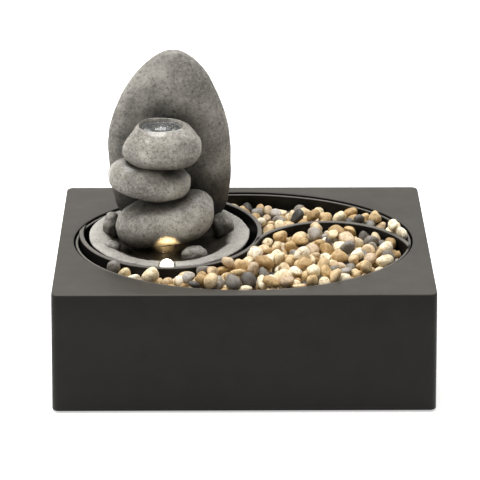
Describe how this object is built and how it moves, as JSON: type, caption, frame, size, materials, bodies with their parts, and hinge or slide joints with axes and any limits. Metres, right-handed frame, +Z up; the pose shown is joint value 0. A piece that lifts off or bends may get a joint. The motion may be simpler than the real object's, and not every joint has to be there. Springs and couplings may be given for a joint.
{
  "type": "tabletop water fountain",
  "caption": "Low rectangular box with an oval pebble tray, a ring and curved rib, and a lift-off stack of river stones fed by a small pump, with a lamp at its foot.",
  "frame": {"origin": "centre of the base, at the surface the feet stand on", "axes": "+X to the right as seen from the front, +Y to the back, +Z up"},
  "size_m": [0.2838, 0.2058, 0.2298],
  "materials": {
    "casing_plastic": "fine satin texture",
    "cover_plastic": "plain moulded",
    "tray_plastic": "satin moulded",
    "screw_steel": "zinc plated",
    "foot_rubber": "matt",
    "pump_plastic": "moulded",
    "core_steel": "laminated",
    "coil_copper": "varnished winding",
    "impeller_plastic": "moulded",
    "magnet": "sintered",
    "shaft_ceramic": "ground",
    "lead_sheath": "extruded",
    "lamp_glass": "clear dome",
    "socket_plastic": "moulded",
    "rocker_plastic": "moulded",
    "dish_stone": "cast stone, fine grain",
    "river_stone": "water-worn, speckled",
    "tube_plastic": "flexible vinyl",
    "pebble_tan": "tumbled",
    "pebble_cream": "tumbled",
    "pebble_grey": "tumbled",
    "pebble_dark": "tumbled"
  },
  "bodies": {
    "base": {"casing": "casing_plastic", "bottom_cover": "cover_plastic", "cover_screws": "screw_steel", "feet": "foot_rubber", "tray_screws": "screw_steel", "basin_tray": "tray_plastic", "reservoir_well": "tray_plastic", "pump_body": "pump_plastic", "pump_back_cover": "pump_plastic", "stator_core": "core_steel", "stator_coil": "coil_copper", "volute_cover": "pump_plastic", "dial_retainer": "pump_plastic", "pump_shaft": "shaft_ceramic", "shaft_bushings": "foot_rubber", "suction_cups": "foot_rubber", "pump_lead": "lead_sheath", "lamp_lead": "lead_sheath", "socket_lead": "lead_sheath", "lead_grommet": "foot_rubber", "lamp_housing": "pump_plastic", "lamp_lens": "lamp_glass", "power_socket": "socket_plastic", "socket_nut": "screw_steel", "switch_body": "socket_plastic", "pebbles_tan": "pebble_tan", "pebbles_cream": "pebble_cream", "pebbles_grey": "pebble_grey", "pebbles_dark": "pebble_dark"},
    "stones": {"stone_dish": "dish_stone", "upright_stone": "river_stone", "lower_stone": "river_stone", "middle_stone": "river_stone", "top_stone": "river_stone", "dish_stones": "river_stone", "riser_tube": "tube_plastic"},
    "flow_dial": {"flow_dial": "pump_plastic"},
    "rotor": {"impeller": "impeller_plastic", "rotor_magnet": "magnet"},
    "rocker": {"switch_rocker": "rocker_plastic"}
  },
  "joints": [
    {"name": "lift_stones", "type": "slide", "parent": "base", "child": "stones", "axis": [0, 0, 1], "range_m": [0, 0.06]},
    {"name": "rotor_spin", "type": "hinge", "parent": "base", "child": "rotor", "pos_m": [-0.0612, 0.013, 0.033], "axis": [0, 1, 0], "continuous": true},
    {"name": "flow_turn", "type": "hinge", "parent": "base", "child": "flow_dial", "pos_m": [-0.0612, -0.0025, 0.033], "axis": [0, 1, 0], "range_deg": [0, 45]},
    {"name": "switch_rock", "type": "hinge", "parent": "base", "child": "rocker", "pos_m": [0.082, 0.09674, 0.034], "axis": [1, 0, 0], "range_deg": [-18, 0]}
  ]
}
